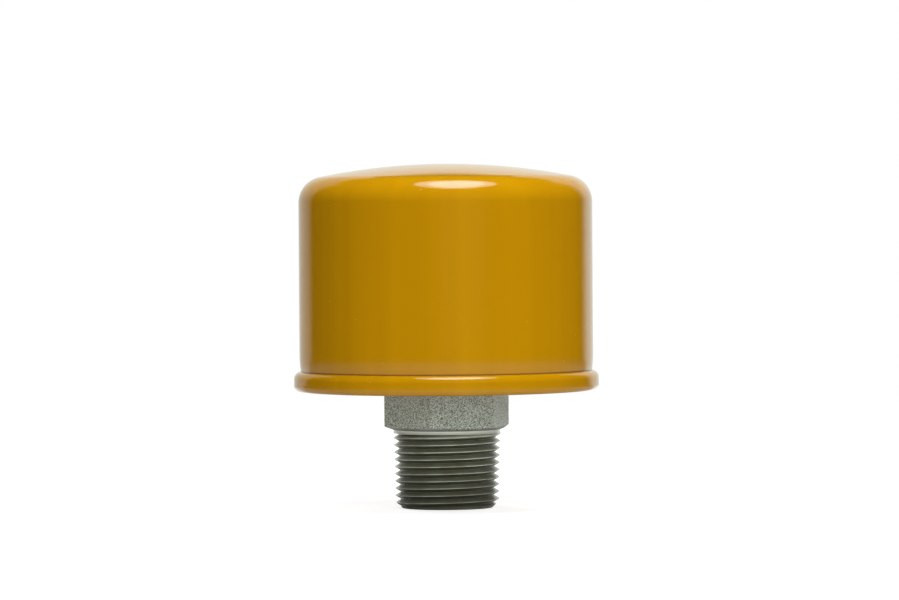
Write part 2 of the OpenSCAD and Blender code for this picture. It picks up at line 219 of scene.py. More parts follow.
def zinc_plating():
    """Grey zinc on steel: pitted where forged, smooth where turned, with light and shade painted on the
    thread, the neck and the hexagon's foot.
    """
    material, tree, shader = new_material("zinc_plating", {"Sheen Weight": 0.3, "Sheen Roughness": 0.3})
    grain = use_group(tree, grain_group, {"Grain Size": 0.34 * MM, "Upright Stretch": 0.6})
    stain = use_group(tree, grain_group, {"Grain Size": 0.7 * MM, "Upright Stretch": 1.0})
    pits = use_group(tree, speck_group, {"Spacing": 0.62 * MM, "Speck Radius": 0.17 * MM, "Share": 0.5})
    points = use_group(tree, speck_group, {"Spacing": 0.70 * MM, "Speck Radius": 0.16 * MM, "Share": 0.5})
    marks = {name: add_node(tree, "ShaderNodeAttribute", attribute_name=name).outputs["Fac"]
             for name in ("thread", "crest", "upper", "depth")}
    place = add_node(tree, "ShaderNodeTexCoord").outputs["Object"]
    height = add_node(tree, "ShaderNodeSeparateXYZ", {0: place}).outputs[2]
    turned_skin = ramp(tree, height, hex_base - 0.04 * MM, hex_base - 0.02 * MM, 1.0, 0.0)

    # Forged flats: grain, pits and bright points, with painted shade on the hexagon's lower edge where it
    # meets the neck
    crisp = ramp(tree, grain["Fine"], 0.25, 0.65, smooth=False)
    forged = mix_colours(tree, crisp, forged_dark, forged_light)
    for mask, weight, colour in ((pits["Mask"], 0.8, forged_pit), (points["Mask"], 0.85, forged_point),
                                 (stain["Broad"], 0.08, forged_rust)):
        forged = mix_colours(tree, calc(tree, "MULTIPLY", mask, weight), forged, colour)
    # Painted shade: a dark band darkens the hexagon's lower edge just above the neck
    under_hexagon = calc(tree, "ABSOLUTE", calc(tree, "SUBTRACT", height, hex_base + 0.12 * MM))
    painted_shade = ramp(tree, under_hexagon, 0.1 * MM, 0.8 * MM, 0.8, 0.0)
    forged = mix_colours(tree, painted_shade, forged, hexagon_foot_shade)

    # Thread: painted light on its upper flanks and painted shade on its lower flanks, in the roots and
    # towards its foot; worn crests with a painted highlight
    # Painted light and shade: the lower flanks are dark and the upper flanks pale, as light from above
    # falls
    shaded_side = mix_colours(tree, grain["Broad"], *lower_flank_shaded)
    upper = mix_colours(tree, grain["Broad"], *upper_flank)
    upper = mix_colours(tree, ramp(tree, stain["Broad"], 0.45, 0.9, 0.0, 0.5), upper, flank_rust)
    cut = mix_colours(tree, marks["upper"], shaded_side, upper)
    # Painted shade in the thread's roots, darkest where the groove is deepest
    cut = mix_colours(tree, calc(tree, "MULTIPLY", marks["depth"], 0.5), cut, root_shade)
    # Worn crests painted near white: real wear that also carries a painted highlight
    rubbed_and_glint = calc(tree, "MULTIPLY", marks["crest"], ramp(tree, stain["Broad"], 0.2, 0.8, 1.0, 0.5))
    cut = mix_colours(tree, rubbed_and_glint, cut, crest_wear_and_glint)
    # Painted shade: the thread darkens towards its foot
    cut = mix_colours(tree, ramp(tree, height, 0.0, foot_shade_height, 0.5, 0.0), cut, foot_shade)
    # The turned neck is painted near white: pale zinc with a painted reflection
    shank = mix_colours(tree, marks["thread"], neck_pale_and_reflection, cut)
    tree.links.new(mix_colours(tree, turned_skin, forged, shank), shader["Base Color"])

    # Gloss and relief
    polish = ramp(tree, marks["thread"], 0.0, 1.0, 0.2, 0.22)
    rough = ramp(tree, grain["Fine"], 0.0, 1.0, 0.38, 0.56)
    tree.links.new(add_node(tree, "ShaderNodeMix", {0: turned_skin, 2: rough, 3: polish}).outputs[0],
                   shader["Roughness"])
    bare = ramp(tree, marks["thread"], 0.0, 1.0, 0.05, 0.45)
    tree.links.new(add_node(tree, "ShaderNodeMix", {0: turned_skin, 2: 0.05, 3: bare}).outputs[0],
                   shader["Metallic"])
    relief = calc(tree, "SUBTRACT", grain["Fine"], calc(tree, "MULTIPLY", pits["Mask"], 0.6))
    bump(tree, shader, calc(tree, "MULTIPLY", relief, calc(tree, "SUBTRACT", 1.0, turned_skin)), 0.13 * MM)
    return material


def end_tree(tree, put, shape, material):
    """End a tree with its instances made real and its material set."""
    real = add_node(tree, "GeometryNodeRealizeInstances", {0: shape})
    finished = add_node(tree, "GeometryNodeSetMaterial", {0: real.outputs[0], "Material": material})
    tree.links.new(finished.outputs[0], put[0])
    return tree


def pipe_thread():
    """Tree that adds a taper thread between the end face and the neck of a nipple's body.

    The rows of a grid climb round the shank with the thread, so that crests and roots lie on rows;
    each row is cut off at the end face and at the neck, and the cut ends are merged.
    """
    sizes = ["Pitch", "Taper", "Small Radius", "Crest Height", "Crest Flat", "Depth", "Top",
             "Neck Radius", "End Radius", "Lead Chamfer", "Fade Start", "Fade End", "First Angle", "Gather"]
    inputs = {"Geometry": "NodeSocketGeometry", "Columns": "NodeSocketInt", "Rows": "NodeSocketInt",
              "Rows a Pitch": "NodeSocketInt", "Material": "NodeSocketMaterial"}
    inputs.update({label: "NodeSocketFloat" for label in sizes})
    tree, given, put = new_tree("pipe_thread", "GeometryNodeTree", inputs,
                                {"Geometry": "NodeSocketGeometry"})
    grid = add_node(tree, "GeometryNodeMeshGrid", {
        "Size X": 1.0, "Size Y": 1.0,
        "Vertices X": calc(tree, "ADD", given["Columns"], 1),
        "Vertices Y": calc(tree, "ADD", given["Rows"], 1)})
    position = add_node(tree, "GeometryNodeInputPosition").outputs[0]
    spot = add_node(tree, "ShaderNodeSeparateXYZ", {0: position})
    across = calc(tree, "ADD", spot.outputs[0], 0.5)
    along = calc(tree, "ADD", spot.outputs[1], 0.5)

    # Columns stand closer together at the hexagon's six corners
    turn = calc(tree, "MULTIPLY", across, math.tau)
    gathered = calc(tree, "MULTIPLY", calc(tree, "SINE", calc(tree, "MULTIPLY", turn, 6.0)),
                    calc(tree, "DIVIDE", given["Gather"], 6.0))
    swept = calc(tree, "SUBTRACT", turn, gathered)
    angle = calc(tree, "ADD", given["First Angle"], swept)

    # A row starts at the crest's height less two pitches, and climbs a pitch in each turn
    row = calc(tree, "ADD", calc(tree, "MULTIPLY", along, given["Rows"]), 0.5)
    low = calc(tree, "SUBTRACT", calc(tree, "DIVIDE", row, given["Rows a Pitch"]), 2.0)
    climb = calc(tree, "ADD", low, calc(tree, "DIVIDE", angle, math.tau))
    free_height = calc(tree, "MULTIPLY_ADD", climb, given["Pitch"], given["Crest Height"])
    height = calc(tree, "MINIMUM", calc(tree, "MAXIMUM", free_height, 0.0), given["Top"])

    # A sixty-degree groove between crests, which fades out at the top
    crest_height = calc(tree, "MULTIPLY_ADD", calc(tree, "DIVIDE", angle, math.tau), given["Pitch"],
                        given["Crest Height"])
    phase = calc(tree, "DIVIDE", calc(tree, "SUBTRACT", height, crest_height), given["Pitch"])
    above_crest = calc(tree, "SUBTRACT", phase, calc(tree, "ROUND", phase))
    off_crest = calc(tree, "MULTIPLY", calc(tree, "ABSOLUTE", above_crest), given["Pitch"])
    half_flat = calc(tree, "MULTIPLY", given["Crest Flat"], 0.5)
    flank = calc(tree, "MULTIPLY", calc(tree, "SUBTRACT", off_crest, half_flat), math.tan(math.radians(60)))
    groove = calc(tree, "MINIMUM", calc(tree, "MAXIMUM", flank, 0.0), given["Depth"])
    root_height = calc(tree, "MULTIPLY_ADD", calc(tree, "ADD", calc(tree, "FLOOR", phase), 0.5),
                       given["Pitch"], crest_height)
    fade = ramp(tree, root_height, given["Fade Start"], given["Fade End"], 1.0, 0.0)
    crest_radius = calc(tree, "MULTIPLY_ADD", height, given["Taper"], given["Small Radius"])
    thread_radius = calc(tree, "SUBTRACT", crest_radius, calc(tree, "MULTIPLY", groove, fade))

    # The lead-in chamfer trims the first turns, and the last row is the neck's edge
    lead_radius = calc(tree, "MULTIPLY_ADD", given["Lead Chamfer"], given["Taper"], given["Small Radius"])
    lead_slope = calc(tree, "DIVIDE", calc(tree, "SUBTRACT", lead_radius, given["End Radius"]),
                      given["Lead Chamfer"])
    trimmed = calc(tree, "MINIMUM", thread_radius,
                   calc(tree, "MULTIPLY_ADD", height, lead_slope, given["End Radius"]))
    last = calc(tree, "GREATER_THAN", along, 0.9999)
    radius = add_node(tree, "ShaderNodeMix", {0: last, 2: trimmed, 3: given["Neck Radius"]}).outputs[0]
    around = add_node(tree, "ShaderNodeCombineXYZ", {
        0: calc(tree, "MULTIPLY", radius, calc(tree, "COSINE", angle)),
        1: calc(tree, "MULTIPLY", radius, calc(tree, "SINE", angle)),
        2: height}).outputs[0]

    # Marks for the material are kept before the grid's points are moved
    # Crest marks for the worn crests and their painted highlight, wider towards the top
    wear_and_glint_reach = ramp(tree, calc(tree, "SUBTRACT", given["Top"], height), 0.0, given["Pitch"], 0.75, 0.1)
    rubbed_and_glint = ramp(tree, groove, 0.0, calc(tree, "MULTIPLY", given["Depth"], wear_and_glint_reach), 1.0, 0.0)
    marks = {
        "thread": 1.0,
        "crest": calc(tree, "MULTIPLY", rubbed_and_glint, ramp(tree, fade, 0.1, 0.6)),
        "upper": calc(tree, "GREATER_THAN", above_crest, 0.0),
        "depth": calc(tree, "MULTIPLY", calc(tree, "DIVIDE", groove, given["Depth"]), fade),
    }
    marked = grid.outputs[0]
    for name, value in marks.items():
        marked = add_node(tree, "GeometryNodeStoreNamedAttribute",
                          {"Geometry": marked, "Name": name, "Value": value}, data_type="FLOAT").outputs[0]
    wound = add_node(tree, "GeometryNodeSetPosition", {"Geometry": marked, "Position": around})
    joined = add_node(tree, "GeometryNodeJoinGeometry", {0: wound.outputs[0]})
    tree.links.new(given["Geometry"], joined.inputs[0])
    merged = add_node(tree, "GeometryNodeMergeByDistance",
                      {"Geometry": joined.outputs[0], "Distance": merge_reach})
    return end_tree(tree, put, merged.outputs[0], given["Material"])


def grow(piece, tree, values):
    """Run a Geometry Nodes tree on a piece and keep its result as a plain mesh."""
    modifier = piece.modifiers.new(tree.name, "NODES")
    modifier.node_group = tree
    for item in tree.interface.items_tree:
        if item.in_out == "INPUT" and item.name in values:
            modifier[item.identifier] = values[item.name]
    graph = bpy.context.evaluated_depsgraph_get()
    mesh = bpy.data.meshes.new_from_object(
        piece.evaluated_get(graph), preserve_all_data_layers=True, depsgraph=graph)
    piece.modifiers.remove(modifier)
    piece.data = mesh
    return piece


def skin(name, rings, loop=False):
    """A piece from rings of points, each joined to the next; a ring of one point is a pole."""
    points = [point for ring in rings for point in ring]
    starts = [sum(len(ring) for ring in rings[:k]) for k in range(len(rings))]
    faces = []
    for a, b in list(zip(range(len(rings)), range(1, len(rings)))) + [(len(rings) - 1, 0)] * loop:
        count = max(len(rings[a]), len(rings[b]))
        for i in range(count):
            corners = [starts[k] + (i + step) % len(rings[k])
                       for k, step in ((a, 0), (a, 1), (b, 1), (b, 0))]
            faces.append(list(dict.fromkeys(corners)))
    mesh = bpy.data.meshes.new(name)
    mesh.from_pydata(points, [], faces)
    piece = bpy.data.objects.new(name, mesh)
    bpy.context.scene.collection.objects.link(piece)
    return piece


def soften(piece, sharp_angle):
    """Turn all faces outwards and shade smooth across edges that bend less than the angle."""
    work = bmesh.new()
    work.from_mesh(piece.data)
    bmesh.ops.recalc_face_normals(work, faces=work.faces)
    work.to_mesh(piece.data)
    work.free()
    piece.data.shade_smooth()
    piece.data.set_sharp_from_angle(angle=math.radians(sharp_angle))


def column_angle(column):
    """Angle of a column of the nipple, gathered at the corners as the thread's columns are."""
    turn = math.tau * column / thread_columns
    return hex_turn + turn - column_gather / 6 * math.sin(6 * turn)


def hex_radius(angle):
    """Distance from the axis to the hexagon's side, with its corners rounded."""
    from_corner = abs((angle - hex_turn + math.pi / 6) % (math.pi / 3) - math.pi / 6)
    inner = hex_flats / 2 - hex_corner_radius
    rounding_ends = math.pi / 6 - math.atan(math.tan(math.pi / 6) * inner / (hex_flats / 2))
    if from_corner >= rounding_ends:
        return hex_flats / 2 / math.cos(math.pi / 6 - from_corner)
    centre = inner / math.cos(math.pi / 6)
    return centre * math.cos(from_corner) + math.sqrt(
        hex_corner_radius ** 2 - (centre * math.sin(from_corner)) ** 2)


def nipple_ring(radius, height):
    """One ring of the nipple's columns; radius and height may depend on the angle."""
    ring = []
    for column in range(thread_columns):
        angle = column_angle(column)
        r = radius(angle) if callable(radius) else radius
        z = height(angle) if callable(height) else height
        ring.append((r * math.cos(angle), r * math.sin(angle), z))
    return ring


def chamfer_depth(angle):
    """Height that the corner chamfer takes off the hexagon's side."""
    return (hex_radius(angle) - hex_face_radius) * math.tan(hex_chamfer)


def eased_radius(angle):
    """Distance from the axis to the inner line of the eased edge."""
    return hex_radius(angle) - edge_ease


def eased_depth(angle):
    """Height of the chamfer at that line."""
    return chamfer_depth(angle) - edge_ease * math.tan(hex_chamfer)


nipple = skin("nipple_threaded", [
    nipple_ring(neck_radius, neck_foot),
    nipple_ring(neck_radius, hex_base),
    nipple_ring(hex_face_radius, hex_base),
    nipple_ring(eased_radius, lambda a: hex_base + eased_depth(a)),
    nipple_ring(hex_radius, lambda a: hex_base + chamfer_depth(a) + edge_ease),
    nipple_ring(hex_radius, lambda a: hex_top - chamfer_depth(a) - edge_ease),
    nipple_ring(eased_radius, lambda a: hex_top - eased_depth(a)),
    nipple_ring(hex_face_radius, hex_top),
    nipple_ring(tube_radius, hex_top),
    nipple_ring(tube_radius, tube_low.z),
    nipple_ring(air_bore_radius, tube_low.z),
    nipple_ring(air_bore_radius, nipple_low.z),
    nipple_ring(end_face_radius, nipple_low.z),
])
grow(nipple, pipe_thread(), {
    "Columns": thread_columns,
    "Rows": math.ceil((neck_foot / thread_pitch + 2) * rows_a_pitch),
    "Rows a Pitch": rows_a_pitch,
    "Material": zinc_plating(),
    "Pitch": thread_pitch,
    "Taper": thread_taper,
    "Small Radius": thread_small_radius,
    "Crest Height": thread_crest_height,
    "Crest Flat": thread_pitch / rows_a_pitch,
    "Depth": thread_depth,
    "Top": neck_foot,
    "Neck Radius": neck_radius,
    "End Radius": end_face_radius,
    "Lead Chamfer": lead_chamfer,
    "Fade Start": neck_foot - 0.1 * MM,
    "Fade End": neck_foot + 0.9 * MM,
    "First Angle": hex_turn,
    "Gather": column_gather,
})
soften(nipple, 28)
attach(nipple, "nipple")
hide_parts("hex_nipple")


# Riser tube: drawn steel tube pressed into the hexagon; the cap is pushed on to it. Its skin keeps
# the fine lengthwise lines of the drawing die.
drawn_greys = (0.50, 0.51, 0.52, 1), (0.66, 0.67, 0.68, 1)


def drawn_steel():
    """Plain steel with lines along the axis."""
    material, tree, shader = new_material("drawn_steel", {"Metallic": 0.6})
    grain = use_group(tree, grain_group, {"Grain Size": 0.12 * MM, "Upright Stretch": 60.0})
    tree.links.new(mix_colours(tree, grain["Fine"], *drawn_greys), shader["Base Color"])
    tree.links.new(ramp(tree, grain["Fine"], 0.0, 1.0, 0.24, 0.38), shader["Roughness"])
    bump(tree, shader, grain["Fine"], 0.006 * MM)
    return material


tube_steel = drawn_steel()
frame["nodes"]["breather_tube"].data.materials[0] = tube_steel


# Can: a sheet-steel shell drawn in one piece, with a shallow domed top, a rounded corner and a wall
# that is rolled in a little above the seam. Sprayed with glossy amber enamel before it is filled.
can_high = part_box("cap_shell")[1]
can_radius = 37.075 * MM
can_sheet = 0.5 * MM
dome_radius = 162 * MM
dome_centre = can_high.z - dome_radius
corner_radius = 6.65 * MM
corner_in = can_radius - corner_radius
corner_height = dome_centre + math.sqrt((dome_radius - corner_radius) ** 2 - corner_in ** 2)
rolled_in = 0.3 * MM
rolled_zone = 4.5 * MM
lid_low, lid_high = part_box("base_lid")
lid_sheet = 0.55 * MM
layer_gap = 0.04 * MM
seam_foot = lid_low.z
seam_top = seam_foot + 5.0 * MM
seam_radius = lid_high.x
wall_outside = can_radius - rolled_in
wall_inside = wall_outside - can_sheet
chuck_outside = wall_inside - layer_gap
chuck_inside = chuck_outside - lid_sheet
seam_middle = (chuck_inside + seam_radius) / 2
bend_height = seam_foot + seam_radius - seam_middle
bend_centre = (seam_middle, bend_height)
lid_hook_inside = wall_outside + layer_gap
lid_hook_outside = lid_hook_inside + lid_sheet
can_hook_inside = lid_hook_outside + layer_gap
can_hook_outside = can_hook_inside + can_sheet
shoulder_radius = 1.9 * MM
shoulder = (seam_radius - shoulder_radius, seam_top - shoulder_radius)
turned_columns = 256
amber_streaks = (0.535, 0.252, 0.0008, 1), (0.575, 0.272, 0.001, 1)
amber_nib = (0.80, 0.62, 0.25, 1)
seam_shade = (0.10, 0.035, 0.0, 1)


def arc(centre, radius, start, end, steps):
    """Points of a profile along an arc, angles in degrees."""
    angles = [math.radians(start + (end - start) * i / steps) for i in range(steps + 1)]
    return [(centre[0] + radius * math.cos(a), centre[1] + radius * math.sin(a)) for a in angles]


def turned(name, profile, loop):
    """A piece turned about the axis from a profile of (radius, height) points."""
    angles = [math.tau * i / turned_columns for i in range(turned_columns)]
    rings = []
    for r, z in profile:
        on_axis = r < 1e-9
        ring = [(0.0, 0.0, z)] if on_axis else [(r * math.cos(a), r * math.sin(a), z) for a in angles]
        rings.append(ring)
    return skin(name, rings, loop)


def can_side(inset):
    """Profile of one face of the can from the crown down to the seam's bends."""
    lean = math.degrees(math.atan2(corner_height - dome_centre, corner_in))
    wall = can_radius - inset
    crown = arc((0, dome_centre), dome_radius - inset, 90, lean, 20)
    crown[0] = (0.0, crown[0][1])
    corner = arc((corner_in, corner_height), corner_radius - inset, lean, 0, 20)
    drop = seam_top + rolled_zone - corner_height
    upright = [(wall, corner_height + drop * i / 6) for i in range(1, 7)]
    rolled = [(wall - rolled_in * (i / 12) ** 2, seam_top + rolled_zone * (1 - i / 12))
              for i in range(1, 13)]
    return crown + corner[1:] + upright + rolled


def amber_enamel():
    """Sprayed amber enamel: faint upright streaks, some orange peel, dust nibs and a line of painted shade
    in the seam.
    """
    material, tree, shader = new_material("amber_enamel", {"IOR": 1.5})
    streaks = use_group(tree, grain_group, {"Grain Size": 0.5 * MM, "Upright Stretch": 40.0})
    peel = use_group(tree, grain_group, {"Grain Size": 0.7 * MM, "Upright Stretch": 1.0})
    dust = use_group(tree, speck_group, {"Spacing": 3.2 * MM, "Speck Radius": 0.2 * MM, "Share": 0.22})
    body = mix_colours(tree, streaks["Broad"], *amber_streaks)
    nibs = mix_colours(tree, calc(tree, "MULTIPLY", dust["Mask"], 0.35), body, amber_nib)
    place = add_node(tree, "ShaderNodeTexCoord").outputs["Object"]
    spot = add_node(tree, "ShaderNodeSeparateXYZ", {0: place}).outputs
    out = calc(tree, "SQRT", calc(tree, "ADD", calc(tree, "MULTIPLY", spot[0], spot[0]),
                                  calc(tree, "MULTIPLY", spot[1], spot[1])))
    # Painted shade: a dark line on the wall's outside just above the seam, where its crevice is shaded
    off_seam = calc(tree, "ABSOLUTE", calc(tree, "SUBTRACT", spot[2], seam_top + 0.1 * MM))
    painted_shade = calc(tree, "MULTIPLY", ramp(tree, off_seam, 0.1 * MM, 0.3 * MM, 0.62, 0.0),
                 ramp(tree, out, wall_outside + 0.15 * MM, wall_outside + 0.3 * MM, 1.0, 0.0))
    tree.links.new(mix_colours(tree, painted_shade, nibs, seam_shade), shader["Base Color"])
    tree.links.new(ramp(tree, streaks["Fine"], 0.0, 1.0, 0.05, 0.09), shader["Roughness"])
    bump(tree, shader, peel["Fine"], 0.004 * MM)
    return material


hook_bends = arc(bend_centre, seam_middle - wall_outside, 180, 360, 10)
outer_bends = arc(bend_centre, seam_middle - wall_inside, 360, 180, 10)
enamel = amber_enamel()
can = turned("can_enamelled", can_side(0) + hook_bends + [
    (can_hook_inside, shoulder[1]), (can_hook_outside, shoulder[1])
] + outer_bends + can_side(can_sheet)[::-1], loop=False)
can.data.materials.append(enamel)
soften(can, 40)
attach(can, "cap")
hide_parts("cap_shell")


# Lid: a pressed sheet-steel disc whose rim is double-seamed round the can's lower edge, which makes
# the band at the can's foot. A drawn collar holds the grommet, and a ring of holes lets the air out.
panel_underside = hex_top
panel_top = panel_underside + lid_sheet
collar_inside = 11.625 * MM
collar_outside = collar_inside + lid_sheet
collar_bend = 0.6 * MM
panel_bend = 1.2 * MM
hook_end = bend_height + 0.3 * MM
vent_count = 16
vent_diameter = 4.5 * MM
vent_ring_radius = chuck_inside - 4.7 * MM


def vent_ring():
    """Tree that punches a ring of round holes through a piece."""
    tree, given, put = new_tree(
        "vent_ring", "GeometryNodeTree",
        {"Geometry": "NodeSocketGeometry", "Count": "NodeSocketInt", "Ring Radius": "NodeSocketFloat",
         "Hole Radius": "NodeSocketFloat", "Height": "NodeSocketFloat", "Punch Length": "NodeSocketFloat",
         "Material": "NodeSocketMaterial"},
        {"Geometry": "NodeSocketGeometry"})
    ring = add_node(tree, "GeometryNodeMeshCircle",
                    {"Vertices": given["Count"], "Radius": given["Ring Radius"]})
    punch = add_node(tree, "GeometryNodeMeshCylinder", {
        "Vertices": 40, "Radius": given["Hole Radius"], "Depth": given["Punch Length"]})
    punches = add_node(tree, "GeometryNodeInstanceOnPoints",
                       {"Points": ring.outputs[0], "Instance": punch.outputs[0]})
    half_step = add_node(tree, "ShaderNodeCombineXYZ", {2: calc(tree, "DIVIDE", math.pi, given["Count"])})
    raised = add_node(tree, "ShaderNodeCombineXYZ", {2: given["Height"]})
    placed = add_node(tree, "GeometryNodeTransform", {
        "Geometry": punches.outputs[0], "Translation": raised.outputs[0], "Rotation": half_step.outputs[0]})
    solid = add_node(tree, "GeometryNodeRealizeInstances", {0: placed.outputs[0]})
    holed = add_node(tree, "GeometryNodeMeshBoolean",
                     {"Mesh 1": given["Geometry"], "Mesh 2": solid.outputs[0]},
                     operation="DIFFERENCE", solver="MANIFOLD")
    merged = add_node(tree, "GeometryNodeMergeByDistance",
                      {"Geometry": holed.outputs[0], "Distance": merge_reach})
    return end_tree(tree, put, merged.outputs[0], given["Material"])


def hook_angle(radius, bend):
    """Angle at which a bend of the shoulder reaches a radius of the lid's hook, in degrees."""
    return math.degrees(math.acos((radius - shoulder[0]) / bend))


collar_centre = (collar_outside + collar_bend, panel_top + collar_bend)
panel_centre = (chuck_inside - panel_bend, panel_underside - panel_bend)
shoulder_inside = shoulder_radius - lid_sheet
lid = turned("lid_seamed", [
    (collar_inside, lid_high.z),
    *arc(collar_centre, collar_bend + lid_sheet, 180, 270, 8),
    *arc(panel_centre, panel_bend, 90, 0, 10),
    *arc(bend_centre, seam_middle - chuck_inside, 180, 360, 24),
    *arc(shoulder, shoulder_radius, 0, hook_angle(lid_hook_inside, shoulder_radius), 14),
    (lid_hook_inside, hook_end),
    (lid_hook_outside, hook_end),
    *arc(shoulder, shoulder_inside, hook_angle(lid_hook_outside, shoulder_inside), 0, 10),
    *arc(bend_centre, seam_middle - chuck_outside, 360, 180, 20),
    *arc(panel_centre, panel_bend + lid_sheet, 0, 90, 10),
    *arc(collar_centre, collar_bend, 270, 180, 8),
    (collar_outside, lid_high.z),
], loop=True)
soften(lid, 40)
grow(lid, vent_ring(), {
    "Count": vent_count,
    "Ring Radius": vent_ring_radius,
    "Hole Radius": vent_diameter / 2,
    "Height": panel_underside + lid_sheet / 2,
    "Punch Length": 4 * lid_sheet,
    "Material": enamel,
})
soften(lid, 40)
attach(lid, "cap")
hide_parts("base_lid")


# Grommet: moulded black rubber bush that stands in the lid's collar, with its flange on the collar's
# edge. Lands in its bore grip the tube and seal on it.
rubber_blacks = (0.018, 0.018, 0.019, 1), (0.040, 0.040, 0.042, 1)


def black_rubber():
    """Dull moulded rubber with a faint bloom."""
    material, tree, shader = new_material("moulded_rubber", {})
    grain = use_group(tree, grain_group, {"Grain Size": 0.25 * MM, "Upright Stretch": 1.0})
    tree.links.new(mix_colours(tree, grain["Broad"], *rubber_blacks), shader["Base Color"])
    tree.links.new(ramp(tree, grain["Fine"], 0.0, 1.0, 0.5, 0.7), shader["Roughness"])
    bump(tree, shader, grain["Fine"], 0.02 * MM)
    return material


frame["nodes"]["tube_grommet"].data.materials[0] = black_rubber()


# Filter element: pleated paper round a perforated steel core, closed by two pressed steel end
# plates. The plates have a satin tinned skin, and the paper is stiffened with resin.
pressed_greys = (0.52, 0.53, 0.54, 1), (0.68, 0.69, 0.70, 1)
paper_creams = (0.56, 0.45, 0.24, 1), (0.74, 0.63, 0.40, 1)


def pressed_steel():
    """Tinned sheet with a satin, lightly clouded skin."""
    material, tree, shader = new_material("pressed_steel", {"Metallic": 0.6})
    grain = use_group(tree, grain_group, {"Grain Size": 0.3 * MM, "Upright Stretch": 1.0})
    tree.links.new(mix_colours(tree, grain["Broad"], *pressed_greys), shader["Base Color"])
    tree.links.new(ramp(tree, grain["Fine"], 0.0, 1.0, 0.28, 0.42), shader["Roughness"])
    bump(tree, shader, grain["Fine"], 0.008 * MM)
    return material


def filter_paper():
    """Cream resin-treated paper with fibres lying along the folds."""
    material, tree, shader = new_material("filter_paper", {"Roughness": 0.85})
    fibre = use_group(tree, grain_group, {"Grain Size": 0.18 * MM, "Upright Stretch": 6.0})
    tree.links.new(mix_colours(tree, fibre["Fine"], *paper_creams), shader["Base Color"])
    bump(tree, shader, fibre["Fine"], 0.04 * MM)
    return material


element_steel = pressed_steel()
for pressed in ("lower_end_plate", "core_tube", "upper_end_plate"):
    frame["nodes"][pressed].data.materials[0] = element_steel
frame["nodes"]["filter_media"].data.materials[0] = filter_paper()


# Hold-down spring: a cone of round spring wire between the element and the dome, with half a turn
# lying flat at each end.
spring_low, spring_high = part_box("hold_down_spring")
wire_radius = 0.9 * MM
spring_turns = 3.5
spring_base_radius = 15 * MM
spring_top_radius = 8.5 * MM
spring_points = 240


def coned_spring():
    """Tree that winds a wire up a cone; its flat ends are shares of its length."""
    tree, given, put = new_tree(
        "coned_spring", "GeometryNodeTree",
        {"Geometry": "NodeSocketGeometry", "Turns": "NodeSocketFloat", "Base Radius": "NodeSocketFloat",
         "Top Radius": "NodeSocketFloat", "Base Height": "NodeSocketFloat", "Top Height": "NodeSocketFloat",
         "Wire Radius": "NodeSocketFloat", "Flat Share": "NodeSocketFloat", "Points": "NodeSocketInt",
         "Material": "NodeSocketMaterial"},
        {"Geometry": "NodeSocketGeometry"})
    line = add_node(tree, "GeometryNodeCurvePrimitiveLine")
    points = add_node(tree, "GeometryNodeResampleCurve",
                      {"Curve": line.outputs[0], "Count": given["Points"]})
    share = add_node(tree, "GeometryNodeSplineParameter").outputs["Factor"]
    last_rise = calc(tree, "SUBTRACT", 1.0, given["Flat Share"])
    rise = ramp(tree, share, given["Flat Share"], last_rise, smooth=False)
    reach = ramp(tree, rise, 0.0, 1.0, given["Base Radius"], given["Top Radius"], smooth=False)
    height = ramp(tree, rise, 0.0, 1.0, given["Base Height"], given["Top Height"], smooth=False)
    turn = calc(tree, "MULTIPLY", calc(tree, "MULTIPLY", share, given["Turns"]), math.tau)
    place = add_node(tree, "ShaderNodeCombineXYZ", {
        0: calc(tree, "MULTIPLY", reach, calc(tree, "COSINE", turn)),
        1: calc(tree, "MULTIPLY", reach, calc(tree, "SINE", turn)),
        2: height}).outputs[0]
    wound = add_node(tree, "GeometryNodeSetPosition", {"Geometry": points.outputs[0], "Position": place})
    section = add_node(tree, "GeometryNodeCurvePrimitiveCircle",
                       {"Resolution": 16, "Radius": given["Wire Radius"]})
    wire = add_node(tree, "GeometryNodeCurveToMesh", {
        "Curve": wound.outputs[0], "Profile Curve": section.outputs[0], "Fill Caps": True})
    return end_tree(tree, put, wire.outputs[0], given["Material"])


spring = skin("spring_wound", [[(0.0, 0.0, spring_low.z)]])
grow(spring, coned_spring(), {
    "Turns": spring_turns,
    "Base Radius": spring_base_radius,
    "Top Radius": spring_top_radius,
    "Base Height": spring_low.z + wire_radius,
    "Top Height": spring_high.z - wire_radius,
    "Wire Radius": wire_radius,
    "Flat Share": 0.5 / spring_turns,
    "Points": spring_points,
    "Material": tube_steel,
})
soften(spring, 40)
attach(spring, "cap")
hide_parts("hold_down_spring")


# Studio: a pale floor that is clear from below, a white backdrop behind the part and dim surroundings
# in front of it. An oval softbox with a hot middle hangs above; a tall front light and two rim lights
# behind the part leave no highlights.
floor_reach = 0.6
floor_gap = 0.05 * MM
floor_greys = 0.5, 0.05
floor_fade_starts = 0.1
floor_glow = 0.75, 1.0
floor_glow_zone = 0.05, 0.3
floor_mirror_zone = 0.02, 0.09
floor_mirror_share = 0.95
foot_light = 0.2
white = (1, 1, 1, 1)
backdrop_left = math.radians(-54), math.radians(-42)
backdrop_right = math.radians(33), math.radians(50)
backdrop_slope = math.radians(-45), math.radians(15)
backdrop_left_share = 0.55
backdrop_top = math.radians(21), math.radians(40)
backdrop_dip = math.radians(0.5), math.radians(14)
backdrop_soft_edge = math.radians(2.5)
backdrop_fade = math.radians(12), math.radians(24)
backdrop_top_share = 0.85
backdrop_tint = (0.92, 1.0, 0.98, 1)
front_dim = 0.015
ambient = 0.18
softbox_place = Vector((0.06, -0.14, can_high.z + 0.6))
softbox_colour = (0.96, 1.0, 1.04)
middle_drop = Vector((0, 0, 0.01))
front_place = (0.27, -1.15, 0.45)
front_turn = (math.radians(71), 0, math.radians(13))
